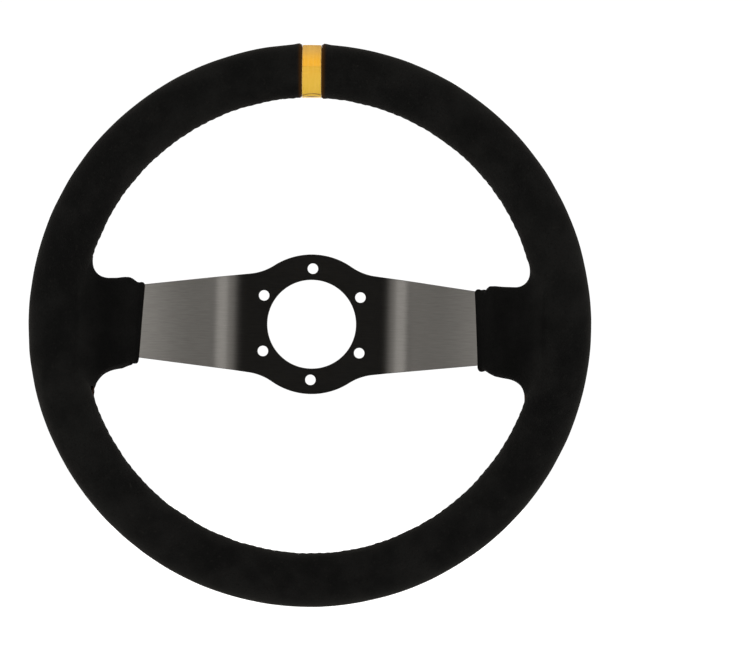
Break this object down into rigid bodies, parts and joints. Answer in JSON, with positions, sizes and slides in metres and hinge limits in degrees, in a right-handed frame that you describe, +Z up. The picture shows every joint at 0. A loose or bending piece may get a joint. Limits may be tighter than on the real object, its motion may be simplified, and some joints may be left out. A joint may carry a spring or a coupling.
{
  "type": "racing steering wheel",
  "caption": "Deep-dish, two-spoke racing steering wheel with a black suede grip, yellow centre marker and dark anodised spoke plate with a bolt circle.",
  "frame": {"origin": "centre of the spoke plate's rear mounting face, on the steering axis", "axes": "+Y along the steering axis, away from the driver and into the steering boss; +Z up at the straight-ahead position; +X to the driver's right"},
  "size_m": [0.3495, 0.0899, 0.3496],
  "materials": {
    "anodised_plate": "brushed, then anodised black",
    "bare_aluminium": "bare rolled sheet",
    "rivet_steel": "plain zinc-plated steel",
    "foam": "moulded polyurethane foam",
    "suede": "napped black suede",
    "marker_vinyl": "smooth yellow coated fabric, satin",
    "thread": "waxed polyester sewing thread"
  },
  "bodies": {
    "root": {"spoke_plate": "anodised_plate", "rim_ring": "bare_aluminium", "rivet_left_1": "rivet_steel", "rivet_left_2": "rivet_steel", "rivet_left_3": "rivet_steel", "rivet_right_1": "rivet_steel", "rivet_right_2": "rivet_steel", "rivet_right_3": "rivet_steel", "grip_core_upper_right": "foam", "grip_core_upper_left": "foam", "grip_core_lower_left": "foam", "grip_core_lower_right": "foam", "spoke_pad_left": "foam", "spoke_pad_right": "foam", "rim_cover": "suede", "spoke_sleeve_left": "suede", "spoke_sleeve_right": "suede", "centre_marker": "marker_vinyl", "seam_upper_left": "thread", "seam_upper_right": "thread", "seam_lower": "thread", "seam_marker": "thread", "seam_sleeve_left": "thread", "seam_sleeve_right": "thread"}
  },
  "joints": []
}
